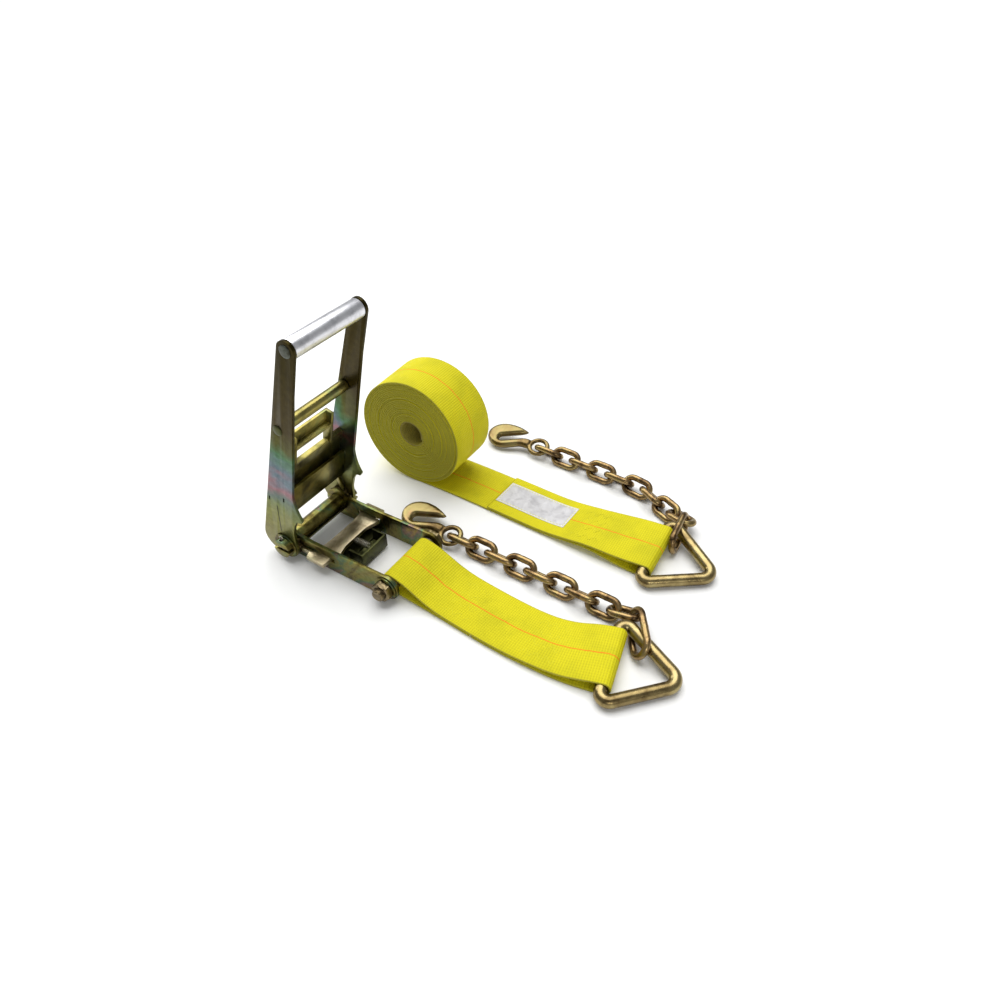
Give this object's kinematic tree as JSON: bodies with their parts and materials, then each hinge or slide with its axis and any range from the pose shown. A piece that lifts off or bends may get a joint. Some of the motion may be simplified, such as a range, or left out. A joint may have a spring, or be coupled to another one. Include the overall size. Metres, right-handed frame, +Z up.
{
  "type": "ratchet tie down",
  "caption": "Wide-handle ratchet buckle with a short strap, a rolled long strap, and on each strap a delta ring, a length of chain and a grab hook.",
  "frame": {"origin": "bottom centre of the laid-out object on the floor", "axes": "+X from the ratchet towards the delta rings, +Y from the short strap to the long strap, +Z up"},
  "size_m": [0.5422, 0.389, 0.3299],
  "materials": {
    "plated_steel": "yellow zinc plated",
    "grip_steel": "bright zinc plated",
    "spring_steel": "bare steel",
    "chain_steel": "yellow chromate plated",
    "webbing": "woven polyester",
    "label": "printed tag, left blank"
  },
  "bodies": {
    "frame": {"frame_side_plate_near": "plated_steel", "frame_side_plate_far": "plated_steel", "frame_cross_web": "plated_steel", "end_bolt": "plated_steel", "end_bolt_nut": "plated_steel", "end_bolt_washer": "plated_steel", "end_bolt_sleeve": "plated_steel"},
    "frame_pawl": {"frame_pawl": "plated_steel", "frame_pawl_spring": "spring_steel"},
    "spool": {"spool_half_upper": "plated_steel", "spool_half_lower": "plated_steel", "ratchet_wheel_near": "plated_steel", "ratchet_wheel_far": "plated_steel", "spool_washer_near": "plated_steel", "spool_washer_far": "plated_steel", "cotter_pin_near": "spring_steel", "cotter_pin_far": "spring_steel"},
    "handle": {"handle_side_plate_near": "plated_steel", "handle_side_plate_far": "plated_steel", "handle_grip_tube": "grip_steel", "handle_grip_bolt": "plated_steel", "handle_cross_tube": "plated_steel", "handle_cross_rivet": "plated_steel", "handle_guide_plate": "plated_steel"},
    "handle_pawl": {"handle_pawl": "plated_steel", "handle_pawl_spring": "spring_steel"},
    "short_strap": {"short_strap": "webbing"},
    "delta_ring_front": {"delta_ring_front": "chain_steel"},
    "grab_hook_front": {"grab_hook_front": "chain_steel"},
    "long_strap": {"long_strap_tail": "webbing", "long_strap_roll": "webbing", "strap_label": "label"},
    "delta_ring_rear": {"delta_ring_rear": "chain_steel"},
    "grab_hook_rear": {"grab_hook_rear": "chain_steel"},
    "front_chain_link_01": {"front_chain_link_01": "chain_steel"},
    "front_chain_link_02": {"front_chain_link_02": "chain_steel"},
    "front_chain_link_03": {"front_chain_link_03": "chain_steel"},
    "front_chain_link_04": {"front_chain_link_04": "chain_steel"},
    "front_chain_link_05": {"front_chain_link_05": "chain_steel"},
    "front_chain_link_06": {"front_chain_link_06": "chain_steel"},
    "front_chain_link_07": {"front_chain_link_07": "chain_steel"},
    "front_chain_link_08": {"front_chain_link_08": "chain_steel"},
    "front_chain_link_09": {"front_chain_link_09": "chain_steel"},
    "front_chain_link_10": {"front_chain_link_10": "chain_steel"},
    "rear_chain_link_01": {"rear_chain_link_01": "chain_steel"},
    "rear_chain_link_02": {"rear_chain_link_02": "chain_steel"},
    "rear_chain_link_03": {"rear_chain_link_03": "chain_steel"},
    "rear_chain_link_04": {"rear_chain_link_04": "chain_steel"},
    "rear_chain_link_05": {"rear_chain_link_05": "chain_steel"},
    "rear_chain_link_06": {"rear_chain_link_06": "chain_steel"},
    "rear_chain_link_07": {"rear_chain_link_07": "chain_steel"},
    "rear_chain_link_08": {"rear_chain_link_08": "chain_steel"},
    "rear_chain_link_09": {"rear_chain_link_09": "chain_steel"},
    "rear_chain_link_10": {"rear_chain_link_10": "chain_steel"}
  },
  "joints": [
    {"name": "frame_pawl_slide", "type": "slide", "parent": "frame", "child": "frame_pawl", "axis": [1, 0, 0], "range_m": [0, 0.005], "stiffness_N_per_m": 1500, "springref_m": -0.002},
    {"name": "spool_spin", "type": "hinge", "parent": "frame", "child": "spool", "pos_m": [-0.23127, -0.12846, 0.02072], "axis": [0, -1, 0], "continuous": true},
    {"name": "handle_swing", "type": "hinge", "parent": "frame", "child": "handle", "pos_m": [-0.23127, -0.12846, 0.02072], "axis": [0, -1, 0], "range_deg": [-45, 90]},
    {"name": "handle_pawl_slide", "type": "slide", "parent": "handle", "child": "handle_pawl", "axis": [0.23, 0, 0.9732], "range_m": [0, 0.005], "stiffness_N_per_m": 1500, "springref_m": -0.002},
    {"name": "short_strap_swing", "type": "hinge", "parent": "frame", "child": "short_strap", "pos_m": [-0.08077, -0.12846, 0.01822], "axis": [0, -1, 0], "range_deg": [0, 60]},
    {"name": "long_strap_lift", "type": "slide", "parent": "frame", "child": "long_strap", "axis": [0, 0, 1], "range_m": [0, 0.3]},
    {"name": "delta_ring_front_swing", "type": "hinge", "parent": "short_strap", "child": "delta_ring_front", "pos_m": [0.19223, -0.12626, 0.01432], "axis": [0.2035, -0.974, -0.0995], "range_deg": [-10, 45]},
    {"name": "front_chain_link_01_swing", "type": "hinge", "parent": "delta_ring_front", "child": "front_chain_link_01", "pos_m": [0.20222, -0.07899, 0.01711], "axis": [0.9136, -0.3868, -0.125], "range_deg": [0, 12]},
    {"name": "front_chain_link_02_swing", "type": "hinge", "parent": "front_chain_link_01", "child": "front_chain_link_02", "pos_m": [0.19143, -0.05331, 0.01773], "axis": [-0.0628, 0.998, 0], "range_deg": [0, 12]},
    {"name": "front_chain_link_03_swing", "type": "hinge", "parent": "front_chain_link_02", "child": "front_chain_link_03", "pos_m": [0.16401, -0.05695, 0.01127], "axis": [0.014, 0.9999, 0], "range_deg": [0, 9]},
    {"name": "front_chain_link_04_swing", "type": "hinge", "parent": "front_chain_link_03", "child": "front_chain_link_04", "pos_m": [0.13561, -0.05667, 0.01162], "axis": [0.014, 0.9999, 0], "range_deg": [0, 12]},
    {"name": "front_chain_link_05_swing", "type": "hinge", "parent": "front_chain_link_04", "child": "front_chain_link_05", "pos_m": [0.10681, -0.05627, 0.01162], "axis": [0.014, 0.9999, 0], "range_deg": [0, 12]},
    {"name": "front_chain_link_06_swing", "type": "hinge", "parent": "front_chain_link_05", "child": "front_chain_link_06", "pos_m": [0.07802, -0.05587, 0.01162], "axis": [0.014, 0.9999, 0], "range_deg": [0, 12]},
    {"name": "front_chain_link_07_swing", "type": "hinge", "parent": "front_chain_link_06", "child": "front_chain_link_07", "pos_m": [0.04922, -0.05547, 0.01162], "axis": [0.014, 0.9999, 0], "range_deg": [0, 12]},
    {"name": "front_chain_link_08_swing", "type": "hinge", "parent": "front_chain_link_07", "child": "front_chain_link_08", "pos_m": [0.02042, -0.05507, 0.01162], "axis": [0.014, 0.9999, 0], "range_deg": [0, 12]},
    {"name": "front_chain_link_09_swing", "type": "hinge", "parent": "front_chain_link_08", "child": "front_chain_link_09", "pos_m": [-0.00838, -0.05466, 0.01162], "axis": [0.014, 0.9999, 0], "range_deg": [0, 12]},
    {"name": "front_chain_link_10_swing", "type": "hinge", "parent": "front_chain_link_09", "child": "front_chain_link_10", "pos_m": [-0.03717, -0.05426, 0.01162], "axis": [0.014, 0.9999, 0], "range_deg": [0, 12]},
    {"name": "grab_hook_front_swing", "type": "hinge", "parent": "front_chain_link_10", "child": "grab_hook_front", "pos_m": [-0.06435, -0.05367, 0.01142], "axis": [0.014, 0.9999, 0], "range_deg": [0, 7]},
    {"name": "delta_ring_rear_swing", "type": "hinge", "parent": "long_strap", "child": "delta_ring_rear", "pos_m": [0.16523, 0.05824, 0.01432], "axis": [0.0243, -0.9947, -0.0995], "range_deg": [-10, 45]},
    {"name": "rear_chain_link_01_swing", "type": "hinge", "parent": "delta_ring_rear", "child": "rear_chain_link_01", "pos_m": [0.18116, 0.10452, 0.01748], "axis": [0.8288, -0.5454, -0.125], "range_deg": [0, 12]},
    {"name": "rear_chain_link_02_swing", "type": "hinge", "parent": "rear_chain_link_01", "child": "rear_chain_link_02", "pos_m": [0.18176, 0.12849, 0.01849], "axis": [0.4399, 0.898, 0], "range_deg": [0, 12]},
    {"name": "rear_chain_link_03_swing", "type": "hinge", "parent": "rear_chain_link_02", "child": "rear_chain_link_03", "pos_m": [0.15788, 0.13819, 0.01123], "axis": [0.4226, 0.9063, 0], "range_deg": [0, 12]},
    {"name": "rear_chain_link_04_swing", "type": "hinge", "parent": "rear_chain_link_03", "child": "rear_chain_link_04", "pos_m": [0.13235, 0.14877, 0.01162], "axis": [0.4695, 0.8829, 0], "range_deg": [0, 12]},
    {"name": "rear_chain_link_05_swing", "type": "hinge", "parent": "rear_chain_link_04", "child": "rear_chain_link_05", "pos_m": [0.10737, 0.16317, 0.01162], "axis": [0.1392, 0.9903, 0], "range_deg": [0, 5]},
    {"name": "rear_chain_link_06_swing", "type": "hinge", "parent": "rear_chain_link_05", "child": "rear_chain_link_06", "pos_m": [0.07877, 0.1666, 0.01162], "axis": [0.0436, 0.999, 0], "range_deg": [0, 12]},
    {"name": "rear_chain_link_07_swing", "type": "hinge", "parent": "rear_chain_link_06", "child": "rear_chain_link_07", "pos_m": [0.04999, 0.16767, 0.01162], "axis": [0.0262, 0.9997, 0], "range_deg": [0, 12]},
    {"name": "rear_chain_link_08_swing", "type": "hinge", "parent": "rear_chain_link_07", "child": "rear_chain_link_08", "pos_m": [0.0212, 0.16838, 0.01162], "axis": [0.0262, 0.9997, 0], "range_deg": [0, 12]},
    {"name": "rear_chain_link_09_swing", "type": "hinge", "parent": "rear_chain_link_08", "child": "rear_chain_link_09", "pos_m": [-0.00759, 0.16913, 0.01162], "axis": [0.0262, 0.9997, 0], "range_deg": [0, 12]},
    {"name": "rear_chain_link_10_swing", "type": "hinge", "parent": "rear_chain_link_09", "child": "rear_chain_link_10", "pos_m": [-0.03638, 0.16989, 0.01162], "axis": [0.0262, 0.9997, 0], "range_deg": [0, 12]},
    {"name": "grab_hook_rear_swing", "type": "hinge", "parent": "rear_chain_link_10", "child": "grab_hook_rear", "pos_m": [-0.06315, 0.17128, 0.01177], "axis": [0.0262, 0.9997, 0], "range_deg": [0, 7]}
  ]
}
